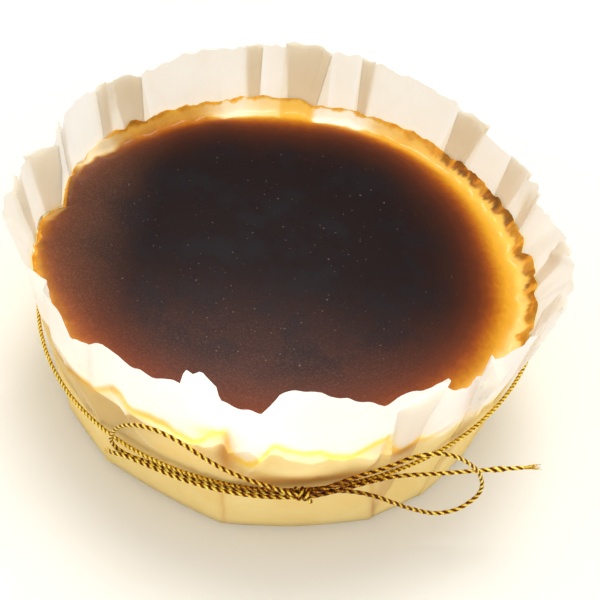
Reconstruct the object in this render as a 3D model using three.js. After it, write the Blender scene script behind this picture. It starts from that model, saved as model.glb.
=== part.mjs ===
// A basque cheesecake in its parchment paper case, tied round with a gold cord in a bow.
// Millimetres, +Z up. The origin is the middle of the flat underside.
// An azimuth is in degrees from +X towards +Y, so the bow, at the front, is near -80.
import {
  BufferGeometry,
  CatmullRomCurve3,
  ExtrudeGeometry,
  Float32BufferAttribute,
  Group,
  MathUtils,
  Mesh,
  MeshStandardMaterial,
  Shape,
  Vector2,
  Vector3,
} from 'three';

// The case: one sheet of paper pressed round the cake, with its spare length laid in folds.
const PAPER_THICKNESS = 0.6;
const GAP = 0.3;
const BASE_RADIUS = 70.3;
const BASE_ROUNDING = 0.9;
const INNER_BASE_ROUNDING = 1.2;
const CREST_RADIUS = 75.9;
const CREST_HEIGHT = 41.4;
const TAPER = (CREST_RADIUS - BASE_RADIUS) / CREST_HEIGHT;
const BACK_FLARE = 0.3;
const FRONT_AZIMUTH = -90;
const UPRIGHT_REACH = 40;
const FLARED_REACH = 80;
const WALL_HEIGHTS = [14, 27, 36, CREST_HEIGHT];
const NARROWEST_COLUMN = 1;
const WIDEST_COLUMN = 3.6;

// The wall is nearly flat between two folds: this share of a true flat, at the base and at the rim.
const BASE_FLATNESS = 0.65;
const RIM_FLATNESS = 0.3;

// Folds: azimuth at the base, azimuth at the rim, how far the wall is drawn in at the crest, half width.
const FOLDS = [
  [-167, -173, 1.0, 6],
  [-145, -143, 1.8, 5],
  [-127, -128, 0.8, 6],
  [-109, -105, 0.8, 5],
  [-96, -99, 0.8, 4],
  [-82, -90, 1.8, 6],
  [-65, -58, 0.8, 5],
  [-48, -46, 0.6, 5],
  [-32, -28, 0.8, 5],
  [-17, -15, 1.0, 5],
  [-2, 4, 0.9, 5],
  [17, 19, 1.2, 5],
  [29, 33, 0.6, 4],
  [49, 52, 1.0, 6],
  [74, 79, 0.8, 5],
  [93, 87, 2.2, 7],
  [105, 104, 0.6, 4],
  [140, 136, 1.4, 5],
  [152, 149, 0.8, 5],
  [164, 166, 2.2, 5],
  [181, 170, 5.2, 8],
];
const FOLD_STEEP_SIDE = 0.35;
const FOLD_FULL_HEIGHT = 57;
const FOLD_GROWTH = 1.5;
const FOLD_MOST_GROWN = 1.2;

// The torn rim: azimuth, height above the underside.
const RIM = [
  [-170, 55.2],
  [-154, 57.5],
  [-146, 59.0],
  [-139.5, 58.8],
  [-134.5, 57.2],
  [-132.6, 51.6],
  [-128.6, 53.2],
  [-122.8, 59.8],
  [-118.3, 58.4],
  [-111.6, 57.4],
  [-105.9, 61.0],
  [-105.2, 65.9],
  [-102, 66.5],
  [-99.1, 62.5],
  [-98.4, 58.6],
  [-90.7, 57.3],
  [-88, 66.7],
  [-84.7, 68.6],
  [-81.2, 67.5],
  [-75.5, 64.0],
  [-68.7, 60.9],
  [-67.1, 63.5],
  [-63.6, 65.8],
  [-58.4, 64.5],
  [-57.6, 60.8],
  [-46.6, 56.2],
  [-45.4, 66.0],
  [-38, 67.5],
  [-29.5, 62.0],
  [-17.5, 56.0],
  [-12.8, 58.7],
  [-5.5, 56.8],
  [10, 53.3],
  [18.7, 50.9],
  [19.6, 55.2],
  [31.5, 54.4],
  [38.5, 53.3],
  [64.5, 57.7],
  [85, 59.3],
  [109, 57.9],
  [122.5, 58.6],
  [129.6, 56.0],
  [135, 54.8],
  [141, 56.4],
  [161, 56.4],
  [173.5, 55.9],
];

// The cake: its dark flat top, a rounded shoulder, a groove, and a thin crest up the paper.
const CAKE_FLOOR = PAPER_THICKNESS + GAP;
const CAKE_BASE_ROUNDING = 2.0;
const CENTRE_HEIGHT = 41.8;
// Across the top from the paper inwards: distance from the paper, height, share of the crest's waves.
const CAKE_TOP = [
  [0.6, CREST_HEIGHT + 0.4, 1.0],
  [1.5, CREST_HEIGHT - 0.9, 0.9],
  [2.8, 38.0, 0.5],
  [4.6, 37.9, 0.3],
  [7.5, 39.3, 0.2],
  [11.5, 40.9, 0.1],
  [16.5, 41.8, 0.0],
  [23, 42.2, 0.0],
  [38, 42.3, 0.0],
  [56, 42.0, 0.0],
];
// Waves along the crest: how many round the cake, height, phase in degrees.
const CREST_WAVES = [
  [7, 0.25, 20],
  [11, 0.2, 75],
  [17, 0.2, 140],
];

// The cord: tied round the case on a slant, with its bow at the front.
const CORD_RADIUS = 0.6;
const CORD_SIDES = 8;
const CORD_STEP = 3;
const CORD_MOST_STEPS = 80;
const CORD_OFF_WALL = CORD_RADIUS + GAP;
const WRAP_MEAN_HEIGHT = 29;
const WRAP_SLANT = 8.5;
const WRAP_HIGH_AZIMUTH = 20;
const WRAP_SAG = 1.2;
const WRAP_SAG_AZIMUTH = -85;
const WRAP_SAG_WIDTH = 16;
const WRAP_POINTS = 90;

// The knot: two turns of the cord round the strands that meet in it.
const KNOT_AZIMUTH = -80.5;
const KNOT_HALF_ANGLE = 2.1;
const KNOT_TURNS = 2;
const KNOT_TURN_RADIUS = 1.5;
const KNOT_LENGTH = 2.8;
const KNOT_OFF_WALL = 2.5;
const KNOT_STEPS = 24;

// Routes of the bow's strands: azimuth, height, distance of the cord's middle from the case's wall.
const LOOP_LEFT = [
  [-82.6, 26.9, 2.4],
  [-85, 28.5, 2.3],
  [-88, 30.3, 2.2],
  [-91, 31.8, 2.2],
  [-95, 33.9, 2.0],
  [-98, 35.8, 1.8],
  [-101, 38.2, 1.7],
  [-104.5, 40.9, 1.6],
  [-108.6, 42.0, 1.6],
  [-112, 40.8, 1.6],
  [-115.2, 38.0, 1.8],
  [-118, 33.8, 2.1],
  [-120, 28.4, 2.5],
  [-120.8, 23.3, 2.7],
  [-119.8, 19.8, 2.1],
  [-117, 18.9, 1.4],
  [-114, 19.9, 1.0],
  [-110, 21.6, 1.0],
  [-104, 22.2, 1.0],
  [-98, 22.7, 1.0],
  [-92, 23.1, 1.0],
  [-87, 23.7, 1.0],
  [-82.6, 24.4, 1.0],
];
const TAIL_LEFT = [
  [-82.6, 25.2, 2.6],
  [-87, 24.5, 2.6],
  [-92, 23.9, 2.6],
  [-98, 23.5, 2.6],
  [-104, 23.0, 2.6],
  [-110, 22.5, 2.6],
  [-114, 21.9, 2.8],
  [-117.5, 20.9, 3.1],
  [-120.5, 18.6, 3.4],
  [-123.2, 15.6, 2.9],
];
const LOOP_RIGHT = [
  [-78.4, 27.6, 2.4],
  [-76, 30.0, 2.2],
  [-73, 32.5, 2.0],
  [-70, 34.6, 2.0],
  [-66.7, 36.8, 2.4],
  [-64, 39.0, 2.8],
  [-61.4, 41.2, 3.3],
  [-58, 42.6, 4.6],
  [-54.8, 41.6, 6.3],
  [-51.8, 38.6, 8.6],
  [-49, 33.6, 11.3],
  [-47.3, 27.0, 13.6],
  [-47.1, 21.8, 14.3],
  [-48.2, 18.0, 14.0],
  [-50, 15.0, 13.1],
  [-53.2, 13.8, 11.0],
  [-58.4, 17.2, 7.8],
  [-61.8, 20.4, 6.0],
  [-65.1, 23.2, 4.3],
  [-68.3, 25.0, 2.9],
  [-71.5, 25.7, 1.8],
  [-75, 25.5, 1.1],
  [-78.4, 25.1, 1.0],
];
const TAIL_RIGHT = [
  [-78.4, 26.0, 2.6],
  [-75.5, 27.7, 2.7],
  [-72, 29.9, 2.8],
  [-66.4, 32.2, 3.1],
  [-62.3, 32.8, 3.8],
  [-55, 32.0, 6.6],
  [-47.7, 31.5, 11.0],
  [-42, 31.7, 16.4],
  [-38.4, 31.7, 20.5],
];

// The signed turn from one azimuth to another, from -180 to 180.
function turnBetween(from, to) {
  return MathUtils.euclideanModulo(to - from + 180, 360) - 180;
}

function polarPoint(azimuth, radius, height) {
  const angle = MathUtils.degToRad(azimuth);
  return new Vector3(radius * Math.cos(angle), radius * Math.sin(angle), height);
}

function crestWave(azimuth) {
  let sum = 0;
  for (const [count, size, phase] of CREST_WAVES) {
    sum += size * Math.sin(MathUtils.degToRad(count * azimuth + phase));
  }
  return sum;
}

// Height of the rim, in straight runs between the marks of the torn edge.
function rimHeight(azimuth) {
  for (let mark = 0; mark < RIM.length; mark += 1) {
    const [start, startHeight] = RIM[mark];
    const [end, endHeight] = RIM[(mark + 1) % RIM.length];
    const span = MathUtils.euclideanModulo(end - start, 360);
    const along = MathUtils.euclideanModulo(azimuth - start, 360);
    if (along <= span) {
      return MathUtils.lerp(startHeight, endHeight, along / span);
    }
  }
  return RIM[0][1];
}

// How far the nearest fold draws the wall in. A fold deepens from nothing at the base.
function foldDepth(azimuth, height) {
  const grown = Math.min(height / CREST_HEIGHT, FOLD_MOST_GROWN) ** FOLD_GROWTH;
  let depth = 0;
  for (const [foot, top, drawnIn, halfWidth] of FOLDS) {
    const line = MathUtils.lerp(foot, top, height / FOLD_FULL_HEIGHT);
    const away = turnBetween(line, azimuth);
    const reach = away > 0 ? halfWidth * FOLD_STEEP_SIDE : halfWidth;
    depth = Math.max(depth, drawnIn * grown * (1 - Math.abs(away) / reach));
  }
  return depth;
}

// How far a panel between two folds lies inside the round wall, as a flat does.
function panelDepth(azimuth, height) {
  const share = MathUtils.lerp(BASE_FLATNESS, RIM_FLATNESS, Math.min(height / CREST_HEIGHT, 1));
  for (let fold = 0; fold < FOLDS.length; fold += 1) {
    const start = FOLDS[fold][0];
    const span = MathUtils.euclideanModulo(FOLDS[(fold + 1) % FOLDS.length][0] - start, 360);
    const along = MathUtils.euclideanModulo(azimuth - start, 360);
    if (along <= span) {
      const half = MathUtils.degToRad(span / 2);
      const off = MathUtils.degToRad(along - span / 2);
      return share * BASE_RADIUS * (1 - Math.cos(half) / Math.cos(off));
    }
  }
  return 0;
}

// Outside of the case. Above the cake it stands upright at the front and flares out elsewhere.
function wallRadius(azimuth, height) {
  const fromFront = Math.abs(turnBetween(FRONT_AZIMUTH, azimuth));
  const flare = BACK_FLARE * MathUtils.smoothstep(fromFront, UPRIGHT_REACH, FLARED_REACH);
  const onCake = Math.min(height, CREST_HEIGHT);
  const round = BASE_RADIUS + TAPER * onCake + flare * (height - onCake);
  return round - foldDepth(azimuth, height) - panelDepth(azimuth, height);
}

// Azimuths of the columns of points: every mark of the rim, every fold, and enough between them.
function columnAzimuths() {
  const marks = RIM.map(([azimuth]) => azimuth);
  for (const [foot, top] of FOLDS) {
    const crest = MathUtils.lerp(foot, top, CREST_HEIGHT / FOLD_FULL_HEIGHT);
    if (marks.every((mark) => Math.abs(turnBetween(mark, crest)) > NARROWEST_COLUMN)) {
      marks.push(crest);
    }
  }
  marks.sort((first, second) => first - second);
  const columns = [];
  marks.forEach((mark, index) => {
    const next = index + 1 < marks.length ? marks[index + 1] : marks[0] + 360;
    const parts = Math.ceil((next - mark) / WIDEST_COLUMN);
    for (let part = 0; part < parts; part += 1) {
      columns.push(MathUtils.lerp(mark, next, part / parts));
    }
  });
  return columns;
}

// A closed skin over rings of points, drawn together to one point at each end. Each cell between two
// rings is split along one diagonal, and along the other from ring number turnedFrom on, so that the
// inside of a shell is split as its outside is.
function closedSkin(firstPoint, rings, lastPoint, turnedFrom = rings.length) {
  const points = [firstPoint, ...rings.flat(), lastPoint];
  const count = rings[0].length;
  const lastRing = 1 + (rings.length - 1) * count;
  const triangles = [];
  for (let column = 0; column < count; column += 1) {
    const next = (column + 1) % count;
    triangles.push(0, 1 + next, 1 + column);
    for (let ring = 0; ring < rings.length - 1; ring += 1) {
      const low = 1 + ring * count;
      const high = low + count;
      if (ring < turnedFrom) {
        triangles.push(low + column, low + next, high + next);
        triangles.push(low + column, high + next, high + column);
      } else {
        triangles.push(low + column, low + next, high + column);
        triangles.push(low + next, high + next, high + column);
      }
    }
    triangles.push(lastRing + column, lastRing + next, points.length - 1);
  }
  const geometry = new BufferGeometry();
  const coordinates = points.flatMap((point) => point.toArray());
  geometry.setAttribute('position', new Float32BufferAttribute(coordinates, 3));
  geometry.setIndex(triangles);
  geometry.computeVertexNormals();
  return geometry;
}

// A thin bowl: up the outside from the underside, over the torn rim, and down the inside.
function paperCase(columns) {
  const floorRing = (height, inset) =>
    columns.map((azimuth) => polarPoint(azimuth, wallRadius(azimuth, 0) - inset, height));
  const wallRing = (heightAt, inset) =>
    columns.map((azimuth) => {
      const height = heightAt(azimuth);
      return polarPoint(azimuth, wallRadius(azimuth, height) - inset, height);
    });
  const halfWayUp = (azimuth) => (CREST_HEIGHT + rimHeight(azimuth)) / 2;
  const levels = [BASE_ROUNDING, ...WALL_HEIGHTS].map((height) => () => height);
  const heights = [...levels, halfWayUp, rimHeight];
  const outside = heights.map((heightAt) => wallRing(heightAt, 0));
  const inside = heights.map((heightAt) => wallRing(heightAt, PAPER_THICKNESS)).reverse();
  const underside = floorRing(0, BASE_ROUNDING);
  const floor = floorRing(PAPER_THICKNESS, INNER_BASE_ROUNDING);
  const rings = [underside, ...outside, ...inside, floor];
  const firstInside = 1 + outside.length;
  return closedSkin(new Vector3(0, 0, 0), rings, new Vector3(0, 0, PAPER_THICKNESS), firstInside);
}

// One solid that fills the case up to its crest. Heights here are above the underside of the case.
function cake(columns) {
  const ring = (heightAt, inset) =>
    columns.map((azimuth) => {
      const height = heightAt(azimuth);
      const side = wallRadius(azimuth, Math.min(height, CREST_HEIGHT)) - CAKE_FLOOR;
      return polarPoint(azimuth, side - inset, height - CAKE_FLOOR);
    });
  const lowSide = CAKE_FLOOR + CAKE_BASE_ROUNDING;
  const side = [lowSide, ...WALL_HEIGHTS].map((height) => ring(() => height, 0));
  const top = CAKE_TOP.map(([inset, height, share]) =>
    ring((azimuth) => height + share * crestWave(azimuth), inset));
  const rings = [ring(() => CAKE_FLOOR, CAKE_BASE_ROUNDING), ...side, ...top];
  return closedSkin(new Vector3(0, 0, 0), rings, new Vector3(0, 0, CENTRE_HEIGHT - CAKE_FLOOR));
}

// A point beside the case, at a distance from its round wall.
function besideWall([azimuth, height, offWall]) {
  return polarPoint(azimuth, BASE_RADIUS + TAPER * height + offWall, height);
}

function wrapHeight(azimuth) {
  const slant = WRAP_SLANT * Math.cos(MathUtils.degToRad(azimuth - WRAP_HIGH_AZIMUTH));
  const fromSag = turnBetween(WRAP_SAG_AZIMUTH, azimuth) / WRAP_SAG_WIDTH;
  return WRAP_MEAN_HEIGHT + slant - WRAP_SAG * Math.exp(-(fromSag ** 2));
}

function wrapRoute() {
  const start = KNOT_AZIMUTH + KNOT_HALF_ANGLE;
  const turn = 360 - 2 * KNOT_HALF_ANGLE;
  return Array.from({ length: WRAP_POINTS }, (_, index) => {
    const azimuth = start + (turn * index) / (WRAP_POINTS - 1);
    return besideWall([azimuth, wrapHeight(azimuth), CORD_OFF_WALL]);
  });
}

function knotRoute() {
  const height = wrapHeight(KNOT_AZIMUTH);
  const centre = besideWall([KNOT_AZIMUTH, height, KNOT_OFF_WALL]);
  const outward = polarPoint(KNOT_AZIMUTH, 1, 0);
  const along = polarPoint(KNOT_AZIMUTH + 90, 1, 0);
  const upward = new Vector3(0, 0, 1);
  return Array.from({ length: KNOT_STEPS + 1 }, (_, index) => {
    const share = index / KNOT_STEPS;
    const angle = 2 * Math.PI * KNOT_TURNS * share;
    return centre.clone()
      .addScaledVector(along, KNOT_LENGTH * (share - 0.5))
      .addScaledVector(outward, KNOT_TURN_RADIUS * Math.cos(angle))
      .addScaledVector(upward, KNOT_TURN_RADIUS * Math.sin(angle));
  });
}

function cord(route) {
  const extrudePath = new CatmullRomCurve3(route);
  const steps = Math.min(Math.ceil(extrudePath.getLength() / CORD_STEP), CORD_MOST_STEPS);
  return cordAlong(extrudePath, steps);
}

function cordAlong(extrudePath, steps) {
  const corners = Array.from({ length: CORD_SIDES }, (_, side) => {
    const angle = (2 * Math.PI * side) / CORD_SIDES;
    return new Vector2(CORD_RADIUS * Math.cos(angle), CORD_RADIUS * Math.sin(angle));
  });
  return new ExtrudeGeometry(new Shape(corners), { steps, bevelEnabled: false, extrudePath });
}

function named(name, geometry, material) {
  const mesh = new Mesh(geometry, material);
  mesh.name = name;
  return mesh;
}

const crustMaterial = () => new MeshStandardMaterial({ color: 0x4a2c22, roughness: 0.55, metalness: 0 });
const paperMaterial = () => new MeshStandardMaterial({ color: 0xefe6d2, roughness: 0.75, metalness: 0 });
const goldMaterial = () => new MeshStandardMaterial({ color: 0xc8922a, roughness: 0.35, metalness: 0.8 });

const columns = columnAzimuths();

const cakeMesh = named('cake', cake(columns), crustMaterial());
cakeMesh.position.z = CAKE_FLOOR;

const bow = new Group();
bow.add(named('bow_loop_left', cord(LOOP_LEFT.map(besideWall)), goldMaterial()));
bow.add(named('bow_loop_right', cord(LOOP_RIGHT.map(besideWall)), goldMaterial()));
bow.add(named('bow_tail_left', cord(TAIL_LEFT.map(besideWall)), goldMaterial()));
bow.add(named('bow_tail_right', cord(TAIL_RIGHT.map(besideWall)), goldMaterial()));
bow.add(named('bow_knot', cordAlong(new CatmullRomCurve3(knotRoute()), KNOT_STEPS), goldMaterial()));

const cheesecake = new Group();
cheesecake.add(cakeMesh);
cheesecake.add(named('paper_case', paperCase(columns), paperMaterial()));
cheesecake.add(named('cord_wrap', cord(wrapRoute()), goldMaterial()));
cheesecake.add(bow);

export default cheesecake;
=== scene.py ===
# Looks of the basque cheesecake: the cake, its folded parchment case, and the gold cord with its bow.
# Lengths in the tables are millimetres, and an azimuth is in degrees from +X towards +Y.
import math

import bpy
import numpy as np
from mathutils import Matrix, Vector


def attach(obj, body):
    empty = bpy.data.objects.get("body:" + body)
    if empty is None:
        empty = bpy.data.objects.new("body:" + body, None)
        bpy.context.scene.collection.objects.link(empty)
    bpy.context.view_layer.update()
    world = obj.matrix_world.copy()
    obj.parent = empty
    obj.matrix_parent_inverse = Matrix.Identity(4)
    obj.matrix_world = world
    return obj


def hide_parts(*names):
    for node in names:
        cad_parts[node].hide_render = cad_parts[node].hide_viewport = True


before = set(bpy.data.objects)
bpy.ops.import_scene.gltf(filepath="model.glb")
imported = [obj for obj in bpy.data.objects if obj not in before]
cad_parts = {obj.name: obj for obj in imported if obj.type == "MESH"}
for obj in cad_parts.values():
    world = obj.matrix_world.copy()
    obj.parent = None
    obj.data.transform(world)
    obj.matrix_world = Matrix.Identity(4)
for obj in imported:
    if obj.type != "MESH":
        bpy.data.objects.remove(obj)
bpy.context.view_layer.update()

MM = 0.001

# The view: where the camera stands, and its three directions.
CAMERA_PLACE = (0.0, -217.26, 244.48)
CAMERA_RIGHT = (0.98858842, 0.095546, 0.11646419)
CAMERA_UP = (-0.14959992, 0.71345487, 0.68454511)
CAMERA_FORWARD = (0.01768639, 0.6941564, -0.71960689)
CAMERA_LENS = 60
FLOOR_REACH, FLOOR_BELOW = 3000, 0.1

# The case's wall.
BASE_RADIUS = 70.3
BASE_ROUNDING = 0.9
CREST_RADIUS = 75.9
CREST_HEIGHT = 41.4
TAPER = (CREST_RADIUS - BASE_RADIUS) / CREST_HEIGHT
BACK_FLARE = 0.3
FRONT_AZIMUTH = -90
UPRIGHT_REACH = 40
FLARED_REACH = 80
BASE_FLATNESS = 0.65
RIM_FLATNESS = 0.3
FOLD_FULL_HEIGHT = 57
FOLD_GROWTH = 1.5
FOLD_MOST_GROWN = 1.2
FOLD_STEEP_SIDE = 0.35

# Folds: azimuth at the base and at the rim, how far the wall is drawn in at the crest, half width; then
# how far the fold's inner and outer edges lie beside that line at the rim, and how far its layers gape.
# A fold with both edges at 0 is only a corner: its layers don't lap.
FOLDS = [
    (-167, -173, 1, 6, 0, -5, 0.7), (-145, -143, 1.8, 5, 0, 0, 0), (-127, -128, 0.8, 6, 0, 0, 0),
    (-96, -99, 0.5, 4, 0, 0, 0), (-62, -56.5, 0.8, 5, -8.5, 0, 0.9), (-48, -46, 0.6, 5, 5, 0, 1.1),
    (-32, -28, 0.8, 5, 0, -4, 0.8), (-17, -15, 1, 5, 0, -4, 0.9), (-2, 4, 0.9, 5, 0, -4, 0.9),
    (17, 19, 1.2, 5, 0, 5, 1.3), (29, 33, 0.6, 4, 0, -7, 0.6), (49, 52, 1, 6, 0, -9, 0.6),
    (74, 79, 0.8, 5, 0, -3, 0.5), (93, 87, 2.2, 7, 0, 11, 0.6), (105, 104, 0.6, 4, 0, 4, 0.6),
    (140, 136, 1.4, 5, 0, 8, 0.6), (152, 149, 0.8, 5, 0, -4.5, 0.6), (164, 166, 2.2, 5, 0, -3, 0.8),
    (187, 171, 5, 14, 0, 5, 0.9),
]
LAPPED_FOLDS = [row for row in FOLDS if row[4] != row[5]]

# The tables by azimuth run round from their last row to their first.
# How far the base swells out beyond the round: azimuth, distance.
BASE_SWELL = [
    (-145, 0), (-125, 0.7), (-96, 1.7), (-80, 2), (-65, 1.5), (-45, 1.2), (-20, 0.6), (0, 0),
]

# The torn rim: azimuth, height above the underside.
RIM = [
    (-170, 55.2), (-154, 57.5), (-146, 59), (-139.5, 58.8), (-134.5, 57.2), (-132.6, 51.6), (-128.6, 53.2),
    (-122.8, 59.8), (-118.3, 58.4), (-111.6, 57.6), (-105.6, 60.4), (-105.4, 66.3), (-103.5, 64.4),
    (-102, 66.5), (-98.9, 62.3), (-98.5, 58.6), (-90.7, 57.3), (-88, 66.7), (-84.7, 68.6), (-81.2, 67.5),
    (-75.5, 64), (-72.7, 63.6), (-68.7, 60.9), (-67.1, 63.5), (-63.6, 65.8), (-56.9, 64.5), (-56.1, 60.4),
    (-46.6, 56.2), (-45.4, 66), (-38, 67.5), (-29.5, 62), (-17.5, 56), (-12.8, 58.7), (-5.5, 56.8),
    (10, 53.3), (18.7, 50.9), (19.6, 55.2), (31.5, 54.4), (38.5, 53.3), (64.5, 57.7), (85, 59.3),
    (109, 57.9), (122.5, 58.6), (129.6, 56), (135, 54.8), (141, 56.4), (161, 56.4), (173.5, 55.9),
]
# Waves: how many go round the case, size, phase in degrees. These make the rim finely ragged.
RIM_WAVES = [(41, 0.16, 307), (67, 0.13, 89), (103, 0.11, 341), (151, 0.07, 77)]

# Nips of the paper into the cake's edge: azimuth, depth, reach towards lower and towards higher azimuths.
NIPS = [
    (-168, 0.8, 2, 2), (-152, 1, 3, 2), (-3.4, 1.5, 1.4, 4), (10.3, 2.7, 2.1, 6), (20.6, 1, 2.5, 1.3),
    (27.4, 0.8, 1.6, 2.4), (34.6, 0.9, 1.8, 1.6), (47.2, 0.8, 1.4, 1.8), (62, 0.6, 2, 3), (72, 0.7, 3, 2),
    (98.6, 0.7, 1.6, 3), (115, 0.8, 1.6, 1.6), (124, 0.6, 2, 3), (143, 0.8, 2, 2), (158, 0.7, 2, 3),
    (-96.6, 1.7, 3.4, 1.3), (-87.6, 1, 1.2, 4),
]

# The paper sheet: how far its layers lie apart and how deep the middle one lies under the case's outside;
# the steps between its columns on a panel and in a lap; how far the two ends of a lap spread at the base,
# and how far its turns stand out; and its rows up the cake, above it and across the floor.
LAYER_GAP = 0.18
LAYER_MIDDLE = 0.3
COLUMN_STEP, LAP_STEP = 0.62, 1.1
LAP_SPREAD, TURN_REACH, LAP_EDGE = 0.12, 0.16, 0.6
ABOVE_FLOOR = 0.05
ROWS_ON_CAKE, ROWS_ABOVE, ROWS_OF_FLOOR = 46, 30, 14
FLOOR_COLUMNS = 180
# The rounded corner at the base: height, how far in it lies.
BASE_CORNER = [(0, 1.6 * BASE_ROUNDING), (0.05, BASE_ROUNDING), (0.22, 0.42), (0.5, 0.12)]
# The curl of the rim, as waves that slant with the height above CURL_FROM.
RIM_CURL = [(8, 0.45, 20), (13, 0.3, 75), (22, 0.14, 140), (37, 0.06, 200)]
CURL_FROM, CURL_SLANT = 41, 1.5
# The radii on which the small creases and the others are measured out.
SMALL_CREASE_RADIUS, CREASE_RADIUS = 76, 74
SMALL_CREASES = 150
# Bulges of the slack paper over the cord: azimuth, height, half width in degrees, half height, depth.
BULGES = [
    (-83, 36, 9, 4.2, 1.9), (-101, 36, 4.5, 5, 1), (-67, 38, 4, 5, 1.2), (-54, 33, 4, 6, 0.9),
    (-112, 34, 6, 6, 1.1), (-129, 34, 4, 7, 1),
]
# Creases: azimuth and height at each end, half width, and depth outwards.
CREASES = [
    (-131, 33, -123.5, 15, 0.7, 0.75), (-121, 45, -112, 27, 0.7, 0.8), (-137, 38, -128, 12, 0.7, 0.7),
    (-96.8, 22, -95.3, 0, 0.9, -0.6), (-65.4, 24, -60.8, 0, 0.9, -0.6), (-66, 14, -72, 0, 0.7, 0.3),
    (-97.2, 50, -97.6, 31, 1.1, -0.4), (-93.1, 27, -89, 42, 0.8, 0.9), (-96.2, 43, -93.5, 28, 0.9, 0.5),
    (-65.3, 48, -67.5, 30, 0.9, -0.9), (-104, 36, -101, 24, 1, 0.4), (-58, 40, -50, 44, 0.8, -0.4),
    (-110, 22, -104, 4, 0.8, 0.25), (-84, 20, -88, 2, 0.9, 0.2), (-48, 44, -38, 52, 0.7, 0.4),
]
# How strongly the laps' painted shade, and the painted glow beside their inner edges, show: azimuth, share.
LAP_STRENGTH = [
    (-180, 0.4), (-140, 0.3), (-130, 0), (-72, 0), (-66, 0.5), (-55, 0.4), (-40, 0.2), (-5, 0.3), (38, 0.4),
    (42, 1), (110, 1), (160, 0.8),
]
# How high the cake soaks the paper: azimuth, height.
SOAKED = [
    (-180, 38.9), (-150, 38.6), (-146, 36), (-139, 34.5), (-134.7, 35.2), (-125.4, 40.3), (-123.5, 42),
    (-120.3, 46.2), (-118.7, 46.2), (-117.3, 43.3), (-115.9, 42.5), (-111.6, 43.5), (-109, 42.6),
    (-106.5, 40.6), (-102.7, 41.2), (-100.5, 43), (-99.3, 45.6), (-97, 45.2), (-94.4, 39.4), (-92, 37),
    (-90.8, 38.1), (-87.9, 44), (-86.7, 44.7), (-85.5, 43.5), (-82, 43.4), (-78.6, 45), (-76.2, 42.8),
    (-72.6, 42.2), (-67.2, 47), (-65.3, 47.2), (-64.3, 43.4), (-62, 40.4), (-59.8, 40.4), (-58.4, 42),
    (-54, 42.5), (-48, 42.5), (-40, 40.6), (-30, 40.4), (148, 40.4), (153, 38.9),
]
SOAK_WAVES = [(7, 0.5, 10), (17, 0.4, 90), (29, 0.35, 0), (47, 0.25, 60)]
# Patches on the soaked paper, brown ones of painted shade and golden ones of painted glow: azimuth, height,
# half width in degrees, half height, share.
SHADE_PATCHES = [
    (-96, 38, 1.9, 7.5, 0.9), (-92.4, 29.5, 2.2, 3, 0.45), (-113, 38, 7, 2.5, 0.25),
    (-101, 37.5, 3.5, 2, 0.2), (-61, 39, 3.2, 1.8, 0.4),
]
GLOW_PATCHES = [(-99.5, 44.5, 3.2, 2.2, 0.8), (-86, 45, 2.2, 1.3, 0.6), (-65.2, 42, 1.1, 5, 0.6)]
# How far the cord draws the paper in.
CINCH_DEPTH, CINCH_HALF_HEIGHT = 0.35, 2.6

# The cake, which starts CAKE_FLOOR inside the outside of the case.
CAKE_FLOOR = 0.9
CAKE_BASE_ROUNDING = 2.0
MIDDLE_HEIGHT = 42.1
CAKE_COLUMNS = 560
# Across the top from the paper inwards: distance from the paper, height, share of CREST_WAVES.
CAKE_TOP = [
    (0, CREST_HEIGHT - 0.6, 1), (0.6, CREST_HEIGHT + 0.4, 1), (1.4, CREST_HEIGHT - 0.9, 0.9),
    (2.1, 39.1, 0.6), (2.9, 38.3, 0.5), (3.8, 38, 0.4), (5, 38.1, 0.3), (7.5, 39.2, 0.2), (11.5, 40.8, 0.1),
    (16.5, 41.8, 0), (23, 42.2, 0), (38, 42.3, 0), (74, 42, 0),
]
# The same at the left, where the top slopes down to the paper without a lip or a groove; and the azimuths,
# from 0 to 360, where that begins, is full, begins to go and has gone.
SMOOTH_TOP = [
    (0, 38.9, 1), (0.8, 39.6, 0.8), (2.5, 39.9, 0.5), (5, 40.4, 0.3), (9, 41.1, 0.1), (14, 41.7, 0),
    (20, 42.1, 0), (38, 42.3, 0), (74, 42, 0),
]
SMOOTH_SIDE = (151, 157, 254, 264)
CREST_WAVES = [(7, 0.25, 20), (11, 0.2, 75), (17, 0.2, 140)]
# The top's relief: wavelength and size of its low swells, three of each; and how many pits it has.
TOP_SWELLS = [(46, 0.06), (31, 0.04), (19, 0.02), (12, 0.015), (7, 0.008)]
TOP_PITS = 110
# The middle of the top's colours, the distance from it where they end, and what each side adds to its
# distance, as it is darker (less) or paler (more) than the rest: azimuth, distance.
DARK_CENTRE = (-4.5, -2.0)
TONE_REACH = 80
TONE_SHIFT = [
    (-180, -1.2), (-170, -3), (-160, -1), (-150, 0), (-135, 0), (-120, -0.5), (-60, -1), (-40, -1.6),
    (-30, -2.2), (-20, -2.2), (0, -1), (10, -0.6), (30, -0.8), (40, -1.2), (50, -2.9), (60, -3.7),
    (70, -3.4), (80, -1.6), (90, 0.7), (110, 0.8), (120, -2.4), (130, -3.2), (140, -2.7), (150, -4),
    (160, -3.2), (170, -3.4),
]
# The top's colours by distance from the dark centre.
TOP_COLOURS = [
    (0, "190f10"), (38, "1b1111"), (46, "241412"), (51, "321a12"), (55, "421f13"), (59, "5a2a15"),
    (61.5, "753816"), (63.5, "944a16"), (65.6, "b46c18"), (68.6, "dc9e28"), (71.6, "ecb642"),
    (73.6, "f4c450"), (80, "f6ca58"),
]
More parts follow.
